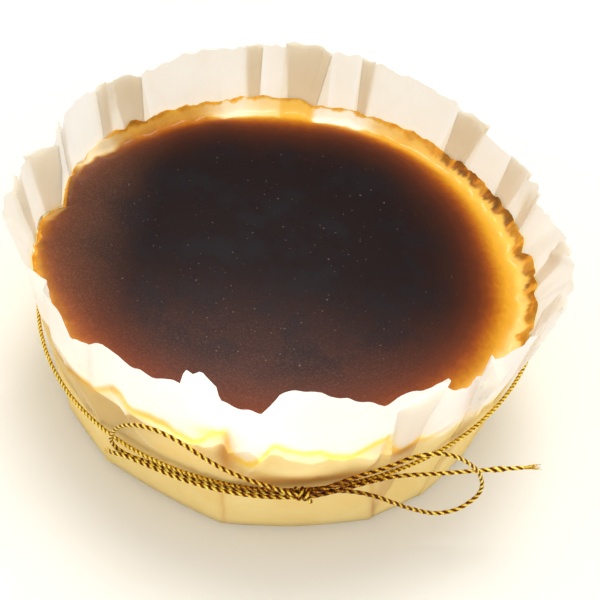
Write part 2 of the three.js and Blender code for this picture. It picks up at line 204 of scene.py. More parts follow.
# How dark the lip is burnt, from 0 to 1: azimuth, share. It changes sharply at the paper's folds.
BURNT = [
    (-180, 0.25), (-165, 0.35), (-150, 0.5), (-130, 0.45), (-115, 0.6), (-100, 0.45), (-85, 0.6),
    (-70, 0.5), (-55, 0.65), (-40, 0.5), (-25, 0.6), (-12, 0.55), (-6, 0.8), (-3.2, 0.9), (-2.4, 0.2),
    (-1, 0.3), (0, 0.95), (4.5, 0.75), (7.5, 0.45), (8.4, 0.1), (9, 0.85), (12.5, 0.8), (13.5, 0.25),
    (15, 0.5), (20, 0.6), (21, 0.35), (21.8, 0.95), (26.6, 0.9), (27.2, 0.4), (27.8, 1), (33.4, 1),
    (34, 0.3), (35, 0.5), (37, 0.5), (37.6, 1), (46.4, 1), (47, 0.15), (47.8, 0.9), (50.5, 0.85),
    (51.2, 0.25), (56, 0.35), (64, 0.2), (72, 0.3), (80, 0.3), (90, 0.25), (93, 0.45), (104, 0.4),
    (105, 0.12), (113, 0.1), (115, 0.4), (116.5, 0.1), (120, 0.35), (131, 0.4), (136, 0.8), (143, 0.8),
    (147, 0.15), (165, 0.15),
]
# How wide the burnt lip is: azimuth, width.
LIP_WIDTH = [
    (-180, 1.2), (-100, 1.8), (-20, 2.1), (0, 2.1), (50, 2), (60, 1.5), (75, 0.9), (115, 0.9), (122, 1),
    (145, 1.2), (150, 0.5), (163, 0.5),
]
# How glossy the groove is: azimuth, share.
WET = [
    (-180, 0.05), (-110, 0.1), (-80, 0.3), (-40, 0.5), (0, 0.6), (110, 0.6), (130, 0.35), (160, 0.3),
    (175, 0.1),
]
# How pale the groove inside the lip is, partly the crust's own paler colour and partly painted glow of the
# light through the paper behind it, and how far that reaches from the paper: azimuth, share, reach.
PALE_GLOW = [
    (-176, 0, 3), (-150, 0.2, 4), (-90, 0.1, 6), (-60, 0.3, 8), (-35, 0.6, 9), (-20, 0.5, 8), (-8, 0.4, 6),
    (0, 0.35, 5), (13, 0.3, 5), (16, 0.1, 5), (30, 0.1, 5), (45, 0.2, 6), (52, 0.3, 6), (62, 0.25, 4),
    (70, 0.5, 4.5), (76, 1, 6.5), (80, 1, 8), (88.5, 1, 8.5), (90.5, 0.1, 4), (98, 0.15, 5), (99, 0.6, 10),
    (104, 0.7, 10), (109, 0.9, 10), (114, 0.85, 8), (118, 0.6, 4.5), (122, 0.25, 3.5), (134, 0.2, 3),
    (143, 0.25, 3), (146, 0.4, 3.5), (150, 0.75, 4.5), (160, 0.75, 4), (164, 0.1, 3), (176, 0, 3),
    (178, 0.3, 5), (182, 0.3, 5),
]

# The cord. Its plies stand PLY_RELIEF of its radius above the grooves between them.
CORD_RADIUS = 0.6
CORD_SIDES = 15
CORD_STEP = 0.24
PLY_RELIEF = 0.34
# How long a turn of the plies is, where the cord is slack, where it is pulled straight, and in the wrap.
SLACK_PITCH, PULLED_PITCH, WRAP_PITCH = 4.4, 4.8, 2.9
CORD_PLIES = 2
# The wrap slants up to its highest at the back, and sags a little at the knot.
CORD_OFF_WALL = 0.9
WRAP_MEAN_HEIGHT, WRAP_SLANT, WRAP_HIGH_AZIMUTH = 29, 8.5, 20
WRAP_SAG, WRAP_SAG_AZIMUTH, WRAP_SAG_WIDTH = 1.2, -85, 16
KNOT_AZIMUTH, KNOT_OFF_WALL, KNOT_HEIGHT = -80.5, 2.1, 26
KNOT_TURNS, KNOT_TURN_RADIUS, KNOT_LENGTH = 2.3, 1.35, 3.6
KNOT_NUB = [(-78.9, 24.3, 3.3), (-78.6, 23.5, 2.9), (-78.9, 23.4, 2.1)]
# Painted shade on the strands beside the knot, where they are pressed together, and on the right ones,
# which face away from the light: how dark on the left and on the right strands, and how far it reaches.
KNOT_SHADE_LEFT, KNOT_SHADE_RIGHT, KNOT_SHADE_REACH = 0.15, 0.5, 28
# How much of the painted shade in its grooves the wrap loses, as they are narrow.
FILLED = 0.38

# Routes of the bow's strands: azimuth, height, distance of the cord's middle from the case's wall. Each
# runs from inside the knot.
LOOP_LEFT = [
    (-80.9, 26.5, 2.6), (-82.6, 26.9, 2.4), (-85, 28.5, 2.3), (-88, 30.3, 2.2), (-91, 31.8, 2.2),
    (-95, 33.9, 2), (-98, 35.8, 1.8), (-101, 38.2, 1.7), (-104.5, 40.9, 1.6), (-108.6, 42, 1.6),
    (-112, 40.8, 1.6), (-115.2, 38, 1.8), (-118, 33.8, 2.1), (-120, 28.4, 2.5), (-120.8, 23.3, 2.7),
    (-119.8, 19.8, 2.1), (-117, 18.9, 1.4), (-114, 19.9, 1), (-110, 21.6, 1), (-104, 22.2, 1),
    (-98, 22.7, 1), (-92, 23.1, 1), (-87, 23.7, 1), (-82.6, 24.4, 1), (-80.9, 25.2, 1.6),
]
TAIL_LEFT = [
    (-80.9, 25.6, 2.6), (-82.6, 25.2, 2.6), (-87, 24.5, 2.6), (-92, 23.9, 2.6), (-98, 23.5, 2.6),
    (-104, 23, 2.6), (-110, 22.5, 2.6), (-114, 21.9, 2.8), (-117.5, 20.9, 3.1), (-120.5, 18.6, 3.4),
    (-123.2, 15.6, 2.9),
]
LOOP_RIGHT = [
    (-80.1, 26.6, 2.5), (-78.4, 27.6, 2.4), (-76, 30, 2.2), (-73, 32.5, 2), (-70, 34.6, 2),
    (-66.7, 36.8, 2.4), (-64, 39, 2.8), (-61.4, 41.2, 3.3), (-58, 42.6, 4.6), (-54.8, 41.6, 6.3),
    (-51.8, 38.6, 8.6), (-49, 33.6, 11.3), (-47.3, 27, 13.6), (-47.1, 21.8, 14.3), (-48.2, 18, 14),
    (-50, 15, 13.1), (-53.2, 13.8, 11), (-58.4, 17.2, 7.8), (-61.8, 20.4, 6), (-65.1, 23.2, 4.3),
    (-68.3, 25, 2.9), (-71.5, 25.7, 1.8), (-75, 25.5, 1.1), (-78.4, 25.1, 1), (-80.1, 25.4, 1.6),
]
TAIL_RIGHT = [
    (-80.1, 25.8, 2.6), (-78.4, 26, 2.6), (-75.5, 27.7, 2.7), (-72, 29.9, 2.8), (-66.4, 32.2, 3.1),
    (-62.3, 32.8, 3.8), (-55, 32, 6.6), (-47.7, 31.5, 11), (-42, 31.7, 16.4), (-38.4, 31.7, 20.5),
]
# Where each end frays, before the end of its route; and the right end's loose thickening.
FRAY_LEFT, FRAY_RIGHT = 2.6, 5.2
THICK_AT, THICK_LENGTH, THICKER = 52.5, 1.8, 0.5
FIBRES, FIBRE_SIDES, FIBRE_RADIUS = 13, 5, 0.13
# How high a ply counts for its colour at the cord's tips, and on the fibres in turn.
TIP_HEIGHT = 0.3
FIBRE_HEIGHTS = (0.55, 0.75, 0.95)
# A torn thread that lies on the paper below the left end, and how far its two fibres lie apart.
THREAD_APART = (0.1, 0.05, 0.12)
LOOSE_THREAD = [(-127.1, 2.2, 0.7), (-124.2, 5.4, 1.5), (-122.2, 8.8, 1.8), (-120.0, 12.4, 0.9)]


# ---- Shared shapes ----

def turn_between(start, end):
    """The signed turn from one azimuth to another, from -180 to 180."""
    return (np.asarray(end, float) - start + 180) % 360 - 180


def smoothstep(value, low, high):
    """From 0 at low to 1 at high, which may be the lower number of the two."""
    share = np.clip((np.asarray(value, float) - low) / (high - low), 0, 1)
    return share * share * (3 - 2 * share)


def window(value, low, full, ends, high):
    """1 from full to ends, and falling smoothly to 0 at low and at high."""
    return smoothstep(value, low, full) * smoothstep(value, high, ends)


def bell(offset):
    """1 at 0, and falling to nothing on both sides."""
    return np.exp(-np.square(offset))


def waves(table, angle, slant=0.0):
    """A sum of sine waves: rows of how many go round, size and phase."""
    return sum(size * np.sin(np.radians(count * angle + phase + slant)) for count, size, phase in table)


def read_table(table, azimuth, column=1):
    """A table's values at the azimuths, in straight runs between its rows."""
    marks = np.array(table, float)
    return np.interp(azimuth, marks[:, 0], marks[:, column], period=360)


def polar(azimuth, radius, height):
    angle = np.radians(azimuth)
    return np.stack(np.broadcast_arrays(radius * np.cos(angle), radius * np.sin(angle), height), -1)


def patches(table, azimuth, height):
    """For each soft round patch: how much of its amount reaches each place."""
    return [amount * bell(turn_between(place, azimuth) / half_turn) * bell((height - level) / half_height)
            for place, level, half_turn, half_height, amount in table]


def rim_height(azimuth):
    return read_table(RIM, azimuth) + waves(RIM_WAVES, azimuth)


def dent_depth(azimuth, dents):
    """The deepest of the dents: place, depth at it, and reach towards lower and higher azimuths."""
    depth = 0.0
    for place, deepest, below, above in dents:
        away = turn_between(place, azimuth)
        depth = np.maximum(depth, deepest * (1 - np.abs(away) / np.where(away > 0, above, below)))
    return depth


def fold_depth(azimuth, height):
    """How far the nearest fold draws the wall in. A fold deepens from nothing at the base."""
    grown = np.minimum(height / CREST_HEIGHT, FOLD_MOST_GROWN) ** FOLD_GROWTH
    return grown * dent_depth(azimuth, [
        (foot + (top - foot) * height / FOLD_FULL_HEIGHT, drawn_in, half_width, half_width * FOLD_STEEP_SIDE)
        for foot, top, drawn_in, half_width, *_ in FOLDS])


def panel_depth(azimuth, height):
    """How far the flat panel between two folds lies inside the round wall."""
    share = BASE_FLATNESS + (RIM_FLATNESS - BASE_FLATNESS) * np.minimum(height / CREST_HEIGHT, 1)
    feet = np.array([row[0] for row in FOLDS], float)
    along = (azimuth - feet[0]) % 360
    spots = np.append((feet - feet[0]) % 360, 360)
    fold = np.clip(np.searchsorted(spots, along, side="right") - 1, 0, len(FOLDS) - 1)
    span = spots[fold + 1] - spots[fold]
    off = np.radians(along - spots[fold] - span / 2)
    return share * BASE_RADIUS * (1 - np.cos(np.radians(span / 2)) / np.cos(off))


def wall_radius(azimuth, height):
    """Outside of the case. Above the cake it stands upright at the front and flares out elsewhere."""
    from_front = np.abs(turn_between(FRONT_AZIMUTH, azimuth))
    flare = BACK_FLARE * smoothstep(from_front, UPRIGHT_REACH, FLARED_REACH)
    on_cake = np.minimum(height, CREST_HEIGHT)
    round_wall = BASE_RADIUS + TAPER * on_cake + flare * (height - on_cake)
    nipped = dent_depth(azimuth, NIPS) * window(height, 31, 40, 44, 56)
    round_wall = round_wall + read_table(BASE_SWELL, azimuth) * (1 - on_cake / CREST_HEIGHT)
    return round_wall - np.maximum(fold_depth(azimuth, height), nipped) - panel_depth(azimuth, height)


def wrap_height(azimuth):
    slant = WRAP_SLANT * np.cos(np.radians(azimuth - WRAP_HIGH_AZIMUTH))
    sag = WRAP_SAG * bell(turn_between(WRAP_SAG_AZIMUTH, azimuth) / WRAP_SAG_WIDTH)
    return WRAP_MEAN_HEIGHT + slant - sag


def new_piece(name, points, faces, material, node=None, slot=None, **values):
    """A mesh object from points in millimetres, on the root body and in a node's place if these are named.
    The values, one for each point, are for its material to read."""
    mesh = bpy.data.meshes.new(name)
    mesh.from_pydata((np.asarray(points) * MM).tolist(), [], faces)
    mesh.polygons.foreach_set("use_smooth", [True] * len(mesh.polygons))
    mesh.update()
    piece = bpy.data.objects.new(name, mesh)
    bpy.context.scene.collection.objects.link(piece)
    mesh.materials.append(material)
    for key, numbers in values.items():
        layer = mesh.attributes.new(key, "FLOAT", "POINT")
        layer.data.foreach_set("value", np.asarray(numbers, np.float32))
    if slot:
        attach(piece, "root")
    if node:
        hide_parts(node)
    return piece


def grid_faces(rows, columns, first=0):
    """Quads between rings of points that follow each other from the first point on."""
    here = first + columns * np.arange(rows - 1)[:, None] + np.arange(columns)
    after = np.roll(here, -1, axis=1)
    corners = np.stack([here, after, after + columns, here + columns], -1)
    return [tuple(face) for face in corners.reshape(-1, 4).tolist()]


# ---- Materials: a node goes into the tree of what it reads ----

def add_node(tree, kind, inputs=(), output=0, **settings):
    """A new node, or an output of it. Each of its inputs is a value or another node's output."""
    made = tree.nodes.new("ShaderNode" + kind)
    for key, value in settings.items():
        setattr(made, key, value)
    for key, value in dict(inputs).items():
        if isinstance(value, bpy.types.NodeSocket):
            tree.links.new(value, made.inputs[key])
        else:
            made.inputs[key].default_value = value
    return made if output is None else made.outputs[output]


def new_material(name, *attributes):
    """A material, its nodes, the place of a point, and what each attribute says there."""
    material = bpy.data.materials.new(name)
    material.use_nodes = True
    tree = material.node_tree
    tree.nodes.clear()
    place = add_node(tree, "TexCoord", output="Object")
    values = [add_node(tree, "Attribute", output="Fac", attribute_name=key) for key in attributes]
    return material, tree, place, *values


def finish_material(material, shader):
    add_node(material.node_tree, "OutputMaterial", {"Surface": shader}, None)
    return material


def ramp(factor, stops):
    """Stops are (place, colour), with the colour as six hex digits or linear values."""
    made = add_node(factor.id_data, "ValToRGB", {"Fac": factor}, None)
    elements = made.color_ramp.elements
    while len(elements) < len(stops):
        elements.new(0.5)
    for element, (place, colour) in zip(elements, stops):
        element.position = place
        element.color = (*(srgb(colour) if isinstance(colour, str) else colour), 1)
    return made.outputs[0]


def maths(operation, first, second, third=None, clamp=False):
    inputs = {0: first, 1: second}
    if third is not None:
        inputs[2] = third
    return add_node(first.id_data, "Math", inputs, operation=operation, use_clamp=clamp)


def times(first, second):
    return maths("MULTIPLY", first, second)


def span(value, low, high):
    """From 0 at low to 1 at high, smoothly."""
    inputs = {"Value": value, "From Min": low, "From Max": high}
    return add_node(value.id_data, "MapRange", inputs, interpolation_type="SMOOTHSTEP")


def noise(place, scale, detail=3, roughness=0.5):
    inputs = {"Vector": place, "Scale": scale, "Detail": detail, "Roughness": roughness}
    return add_node(place.id_data, "TexNoise", inputs)


def bump(height, strength, distance):
    inputs = {"Strength": strength, "Distance": distance, "Height": height}
    return add_node(height.id_data, "Bump", inputs)


def tint(colour, other, share, most=1, blend="MIX"):
    """The colour with a share of another, which is six hex digits, linear values or an output."""
    if most != 1:
        share = times(share, most)
    inputs = {0: share, 6: colour, 7: (*srgb(other), 1) if isinstance(other, str) else other}
    return add_node(colour.id_data, "Mix", inputs, 2, data_type="RGBA", blend_type=blend)


def srgb(code):
    """A colour written as six hex digits, as linear red, green and blue."""
    values = [int(code[i:i + 2], 16) / 255 for i in (0, 2, 4)]
    return tuple(v / 12.92 if v <= 0.04045 else ((v + 0.055) / 1.055) ** 2.4 for v in values)


# ---- Camera, light and floor ----

def make_camera():
    data = bpy.data.cameras.new("camera")
    data.lens = CAMERA_LENS
    data.sensor_width = 36
    data.clip_start = 0.01
    camera = bpy.data.objects.new("camera", data)
    bpy.context.scene.collection.objects.link(camera)
    axes = (CAMERA_RIGHT, CAMERA_UP, tuple(-x for x in CAMERA_FORWARD))
    turn = Matrix(axes).transposed().to_4x4()
    camera.matrix_world = Matrix.Translation(Vector(CAMERA_PLACE) * MM) @ turn
    bpy.context.scene.camera = camera


def make_light(name, kind, place, strength, colour, target=(0, 0, 0.03), **settings):
    """A light at a place (azimuth, elevation, distance) seen from its target."""
    data = bpy.data.lights.new(name, kind)
    data.energy = strength
    data.color = colour
    for key, value in settings.items():
        setattr(data, key, value)
    light = bpy.data.objects.new(name, data)
    bpy.context.scene.collection.objects.link(light)
    azimuth, elevation, distance = place
    side = Vector(polar(azimuth, math.cos(math.radians(elevation)), math.sin(math.radians(elevation))))
    light.location = Vector(target) + side * distance
    light.rotation_euler = (-side).to_track_quat("-Z", "Y").to_euler()


def make_studio():
    """A pale room and floor, a soft light high behind the cake and a small one on the paper."""
    world = bpy.data.worlds.new("room")
    bpy.context.scene.world = world
    world.use_nodes = True
    backdrop = world.node_tree.nodes["Background"]
    backdrop.inputs["Color"].default_value = (1.0, 0.985, 0.95, 1)
    backdrop.inputs["Strength"].default_value = 1.0
    bpy.context.scene.view_settings.view_transform = "Standard"
    make_light("back_light", "SUN", (92, 70, 1.0), 1.3, (1.0, 0.965, 0.91), angle=math.radians(24))
    make_light("paper_light", "SPOT", (92, 46, 0.7), 25, (1.0, 0.97, 0.92), target=(-0.012, -0.076, 0.055),
               shadow_soft_size=0.05, spot_size=math.radians(10.5), spot_blend=0.7)

    material, tree, place = new_material("pale_floor")
    tone = ramp(noise(place, 3), [(0.3, (0.82, 0.805, 0.77)), (0.7, (0.84, 0.825, 0.79))])
    finish_material(material, add_node(tree, "BsdfPrincipled", {"Base Color": tone, "Roughness": 0.9}))
    corners = [(x, y, -FLOOR_BELOW) for x, y in ((-1, -1), (1, -1), (1, 1), (-1, 1))]
    floor = new_piece("floor", np.array(corners) * (FLOOR_REACH, FLOOR_REACH, 1), [(0, 1, 2, 3)], material)


# ---- The cord ----

def beside_wall(row):
    azimuth, height, off_wall = row
    return polar(azimuth, BASE_RADIUS + TAPER * height + off_wall, height)


def smooth_route(points, step):
    """Points an even step apart along the Catmull-Rom curve through the given ones, and its length."""
    points = np.asarray(points, float)
    ends = 2 * points[[0, -1]] - points[[1, -2]]
    runs = np.diff(np.vstack([ends[:1], points, ends[1:]]), axis=0)
    gaps = np.maximum(np.linalg.norm(runs, axis=1) ** 0.5, 1e-4)[:, None]
    slopes = runs / gaps
    slopes = slopes[:-1] - (runs[:-1] + runs[1:]) / (gaps[:-1] + gaps[1:]) + slopes[1:]
    leave, arrive = slopes[:-1] * gaps[1:-1], slopes[1:] * gaps[1:-1]
    share = np.linspace(0, 1, 60, endpoint=False)[None, :, None]
    square, cube = share ** 2, share ** 3
    curve = ((2 * cube - 3 * square + 1) * points[:-1, None] + (cube - 2 * square + share) * leave[:, None]
             + (3 * square - 2 * cube) * points[1:, None] + (cube - square) * arrive[:, None])
    curve = np.vstack([curve.reshape(-1, 3), points[-1:]])
    lengths = np.append(0, np.cumsum(np.linalg.norm(np.diff(curve, axis=0), axis=1)))
    even = np.linspace(0, lengths[-1], max(int(round(lengths[-1] / step)), 4) + 1)
    return np.stack([np.interp(even, lengths, curve[:, axis]) for axis in range(3)], 1), lengths[-1]


def carried_frames(path):
    """Two directions across the path at each of its points, carried along it without a twist."""
    ahead = np.gradient(path, axis=0)
    ahead /= np.linalg.norm(ahead, axis=1)[:, None]
    nearly_up = (0.3, 0.2, 0.93)
    across = np.cross(ahead[0], nearly_up)
    sides = []
    for direction in ahead:
        across = across - direction * across.dot(direction)
        across /= np.linalg.norm(across)
        sides.append(across)
    sides = np.array(sides)
    return sides, np.cross(ahead, sides)


def tube(path, radii):
    """A closed tube round a path, from its radius at each point of the path and each side."""
    sides = radii.shape[1]
    first, second = carried_frames(path)
    angles = (2 * math.pi * np.arange(sides) / sides)[:, None]
    offset = first[:, None] * np.cos(angles) + second[:, None] * np.sin(angles)
    rings = path[:, None] + offset * radii[..., None]
    points = np.vstack([rings.reshape(-1, 3), path[:1], path[-1:]])
    faces = grid_faces(len(path), sides)
    tip, last = len(points) - 1, (len(path) - 1) * sides
    faces += [(side, len(points) - 2, (side + 1) % sides) for side in range(sides)]
    faces += [(last + side, last + (side + 1) % sides, tip) for side in range(sides)]
    return points, faces


def twist_height(angles, distance, turn, pitch):
    """How high the plies stand on the cord's surface, from 0 to 1."""
    phase = angles - 2 * math.pi * distance / pitch + turn
    return np.abs(np.cos(CORD_PLIES / 2 * phase)) ** 0.7


def cord_mesh(path, step, turn=0.0, pitch=SLACK_PITCH, taper=None):
    """The cord along a path: points, faces, and how high the plies stand at each point."""
    angles = 2 * math.pi * np.arange(CORD_SIDES) / CORD_SIDES
    distance = step * np.arange(len(path))[:, None]
    heights = twist_height(angles, distance, turn, pitch)
    size = CORD_RADIUS * (1 - PLY_RELIEF + PLY_RELIEF * heights)
    points, faces = tube(path, size if taper is None else size * taper(distance))
    return points, faces, np.append(heights.ravel() ** 2, (TIP_HEIGHT, TIP_HEIGHT))


def make_cord(name, rows, material, pitch, knot_shade, turn=0, far_end="knot", fray=0, taper=None, filled=0):
    """One strand of the cord, in its node's place. The last part of it may fray."""
    path, length = smooth_route([beside_wall(row) for row in rows], CORD_STEP)
    step = length / (len(path) - 1)
    whole = len(path) - int(round(fray / step))
    points, faces, heights = cord_mesh(path[:whole], step, turn, pitch, taper)
    from_knot = np.linalg.norm(points - beside_wall((KNOT_AZIMUTH, KNOT_HEIGHT, KNOT_OFF_WALL)), axis=1)
    heights = heights + (1 - heights) * filled
    # Painted shade near the knot.
    heights = heights * (1 - knot_shade * bell(from_knot / KNOT_SHADE_REACH))
    strand = new_piece(name, points, faces, material, name, "gold_cord", ply=heights)
    fibres = [make_fibres(name + "_fray", path[whole - 4:], material)] if fray else []


def fibre_mesh(paths):
    """Fibres along the paths that taper to half, as one mesh: points, faces and ply heights."""
    points, faces, heights = [], [], []
    for number, path in enumerate(paths):
        radii = FIBRE_RADIUS * (1 - 0.5 * np.arange(len(path)) / len(path))
        more, sides = tube(path, np.repeat(radii[:, None], FIBRE_SIDES, 1))
        first = sum(len(done) for done in points)
        faces += [tuple(first + corner for corner in side) for side in sides]
        points.append(more)
        heights.append(np.full(len(more), FIBRE_HEIGHTS[number % 3]))
    return np.vstack(points), faces, np.concatenate(heights)


def make_fibres(name, path, material):
    """The frayed end of a strand: fibres that wave and spread along its path."""
    rng = np.random.default_rng(len(name))
    first, second = carried_frames(path)
    share = np.linspace(0, 1, len(path))[:, None]
    paths = []
    for number in range(FIBRES):
        angle = 2 * math.pi * (number / FIBRES + rng.uniform(0, 0.05))
        leave = 0.28 + rng.uniform(0.1, 0.75) * share ** 1.3
        wave = 0.16 * np.sin(rng.uniform(4, 9) * share + rng.uniform(0, 6)) * share
        side = first * math.cos(angle) + second * math.sin(angle)
        reach = max(int(len(path) * rng.uniform(0.62, 1)), 5)
        paths.append((path + side * leave + np.cross(side, path[-1] - path[0]) * wave / 4)[:reach])
    points, faces, heights = fibre_mesh(paths)
    return new_piece(name, points, faces, material, slot="gold_cord", ply=heights)


def wrap_route():
    """Once round the case, from inside the knot and back into it."""
    azimuths = KNOT_AZIMUTH + 0.5 + 359 * np.arange(92) / 91
    return [(azimuth, wrap_height(azimuth), CORD_OFF_WALL) for azimuth in azimuths]


def knot_route():
    """Turns round the strands, and a small nub where the cord tucks under at the right."""
    height = float(wrap_height(KNOT_AZIMUTH)) + 0.1
    centre = beside_wall((KNOT_AZIMUTH, height, KNOT_OFF_WALL))
    outward, along = polar(KNOT_AZIMUTH, 1, 0), polar(KNOT_AZIMUTH + 90, 1, 0)
    share = np.linspace(0, 1, 34)[:, None]
    angle = 2 * math.pi * KNOT_TURNS * share + 1.9
    turns = outward * np.cos(angle) + np.array((0, 0, 1)) * np.sin(angle)
    coils = centre + along * KNOT_LENGTH * (share - 0.5) + turns * KNOT_TURN_RADIUS
    return np.vstack([coils, [beside_wall(row) for row in KNOT_NUB]])


def cord_material():
    """Metallic thread: bright gold on the plies with painted glints, and dark brown in their grooves, partly
    the thread's own colour and partly painted shade.
    """
    material, tree, place, ply = new_material("gold_thread", "ply")
    glint = noise(place, 2200, 2)
    level = maths("ADD", ply, maths("MULTIPLY_ADD", glint, 1.2, -0.62), clamp=True)
    colour = ramp(level, [
        (0, "300e00"), (0.25, "5c2404"), (0.45, "9c620c"), (0.68, "dcac22"), (0.95, "fff078")])
    normal = bump(glint, 0.4, 0.0001)
    return finish_material(material, add_node(tree, "BsdfPrincipled", {
        "Base Color": colour, "Metallic": 0.8, "Roughness": 0.34, "Normal": normal}))


def make_cords():
    material = cord_material()
    left, right = (material, SLACK_PITCH, KNOT_SHADE_LEFT), (material, PULLED_PITCH, KNOT_SHADE_RIGHT)
    make_cord("cord_wrap", wrap_route(), material, WRAP_PITCH, KNOT_SHADE_RIGHT, filled=FILLED)
    make_cord("bow_loop_left", LOOP_LEFT, *left, 0.7)
    make_cord("bow_loop_right", LOOP_RIGHT, *right, 1.9)
    make_cord("bow_tail_left", TAIL_LEFT, *left, 2.6, "bare", FRAY_LEFT)
    make_cord("bow_tail_right", TAIL_RIGHT, *right, 0.2, "bare", FRAY_RIGHT,
              lambda at: 1 + THICKER * bell((at - THICK_AT) / THICK_LENGTH))
    path, length = smooth_route(knot_route(), CORD_STEP)
    points, faces, heights = cord_mesh(path, length / (len(path) - 1), 1.1)
    # Painted shade on the knot, as on the strands beside it.
    heights = heights * (1 - KNOT_SHADE_LEFT)
    new_piece("bow_knot", points, faces, material, "bow_knot", "gold_cord", ply=heights)
    thread, _ = smooth_route([beside_wall(row) for row in LOOSE_THREAD], CORD_STEP)
    points, faces, heights = fibre_mesh([thread, thread + THREAD_APART])
    new_piece("loose_thread", points, faces, material, slot="gold_cord", ply=heights + TIP_HEIGHT)


# ---- The parchment case ----

def seeded_creases(seed, count):
    """Straight creases of the crumpled paper: place, direction, half length, half width and depth."""
    rng = np.random.default_rng(seed)
    return zip(
        rng.uniform(-180, 180, count), rng.uniform(4, 60, count), rng.normal(90, 32, count),
        rng.uniform(5, 20, count), rng.uniform(0.8, 2.4, count), rng.uniform(-0.3, 0.3, count),
    )


def crease_marks(azimuth, height):
    """For each crease: its half width and depth, the distance off its line, and 1 within its length."""
    for start, low, end, high, half_width, depth in CREASES:
        east, up = turn_between(start, azimuth) * math.radians(CREASE_RADIUS), height - low
        run, rise = turn_between(start, end) * math.radians(CREASE_RADIUS), high - low
        length = math.hypot(run, rise)
        along, off = (east * run + up * rise) / length, (up * run - east * rise) / length
        within = window(along, -1.5, 1.5, length - 1.5, length + 1.5)
        yield half_width, depth, off, within


def crumple(azimuth, height):
    """The paper's creases, its bulges over the cord and the curl of its rim, outwards."""
    total = np.zeros(np.broadcast(azimuth, height).shape)
    for place, level, slope, half_length, half_width, depth in seeded_creases(5, SMALL_CREASES):
        across = turn_between(place, azimuth) * math.radians(SMALL_CREASE_RADIUS)
        up, cosine, sine = height - level, math.cos(math.radians(slope)), math.sin(math.radians(slope))
        along, off = across * cosine + up * sine, up * cosine - across * sine
        ridge = np.clip(1 - np.abs(off) / half_width, 0, 1)
        total += depth * ridge * smoothstep(half_length - np.abs(along), 0, half_length * 0.5)
    free = smoothstep(height, 36, 48)
    total *= 0.55 + 0.5 * free
    # The paper is most crumpled at the right.
    total *= 1 + 1.4 * smoothstep(np.abs(turn_between(-15, azimuth)), 50, 35)
    for half_width, depth, off, within in crease_marks(azimuth, height):
        total += depth * within * np.exp(-np.abs(off / half_width) ** 1.5)
    total += free ** 2 * waves(RIM_CURL, azimuth, CURL_SLANT * (height - CURL_FROM))
    total += sum(patches(BULGES, azimuth, height))
    return total - CINCH_DEPTH * bell((height - wrap_height(azimuth)) / CINCH_HALF_HEIGHT)


def sheet_columns():
    """The columns of the sheet, in order along the paper: azimuth at the base and at the rim, layer from
    -1 inside to 1 outside, how far the layers gape, the nearest fold's line at the rim, and the side of
    it that the column is on, from -1 to 1, as the torn rim steps there."""
    laps = [(foot, line, line + min(inner, outer), line + max(inner, outer), 1 if outer > inner else -1, gape)
            for foot, line, _, _, inner, outer, gape in LAPPED_FOLDS]
    laps.append((*(azimuth + 360 for azimuth in laps[0][:4]), *laps[0][4:]))
    columns = []
    for lap, following in zip(laps, laps[1:]):
        foot, line, first, last, arriving, gape = lap
        next_foot, next_line, next_first, next_last, next_arriving, next_gape = following
        for share in np.linspace(0, 1, max(int(math.ceil((last - first) / LAP_STEP)), 3) + 1):
            base = foot + LAP_SPREAD * (1 - 2 * share)
            columns.append((base, last + (first - last) * share, 0.0, gape, line, 2 * share - 1))
        columns.append((foot - TURN_REACH, first - LAP_SPREAD, -arriving / 2, gape, line, 1))
        blend = 0.3 * (next_last - last)
        for share in np.linspace(0, 1, int(math.ceil((next_last - first) / COLUMN_STEP)) + 1):
            at = first + (next_last - first) * share
            base = foot - LAP_SPREAD + (next_foot - foot + 2 * LAP_SPREAD) * share
            leave = smoothstep(at, last + 0.5, last + 0.5 + blend)
            come = smoothstep(at, next_first - 0.5 - blend, next_first - 0.5)
            layer = -arriving * (1 - leave) + next_arriving * come
            spread = gape * (1 - leave) + next_gape * come
            columns.append((base, at, layer, spread, *((line, 1) if share < 0.5 else (next_line, -1))))
        columns.append((next_foot + TURN_REACH, next_last + LAP_SPREAD, next_arriving / 2,
                        next_gape, next_line, -1))
    return np.array(columns, float)


def paper_points():
    """The sheet's grid of points, row after row from the base's corner up to the torn rim; the height and
    azimuth of each before it is pulled in or pushed out; and each column's azimuth at the rim."""
    foot, top, layer, gape, line, side = sheet_columns().T
    # The rim beside a fold is that of its own side of the line, and between the two sides in a lap.
    beside = line + side * np.clip(side * (top - line), LAP_EDGE, 60)
    share = (side + 1) / 2
    across = rim_height(line - LAP_EDGE) * (1 - share) + rim_height(line + LAP_EDGE) * share
    rim = np.where(np.abs(side) == 1, rim_height(beside), across)
    rim = rim + 0.35 * np.sin(np.arange(len(rim)) * 0.7 + layer * 2)
    flat = np.zeros(len(foot))
    on_cake = np.linspace(BASE_ROUNDING, CREST_HEIGHT, ROWS_ON_CAKE + 1)
    free = np.linspace(0, 1, ROWS_ABOVE + 1)[1:]
    heights = np.array([flat + height for height in (*(row[0] for row in BASE_CORNER), *on_cake)]
                       + [CREST_HEIGHT + (rim - CREST_HEIGHT) * part for part in free])
    insets = np.zeros((len(heights), 1))
    insets[:len(BASE_CORNER), 0] = [row[1] for row in BASE_CORNER]
    azimuths = foot + (top - foot) * heights / FOLD_FULL_HEIGHT
    gap = LAYER_GAP + gape * smoothstep(heights, 40, 60)
    radii = wall_radius(azimuths, heights) - LAYER_MIDDLE + layer * gap - insets
    radii = radii + crumple(azimuths, heights) * smoothstep(heights, 1, 8)
    return polar(azimuths, radii, heights + ABOVE_FLOOR), heights, azimuths, top


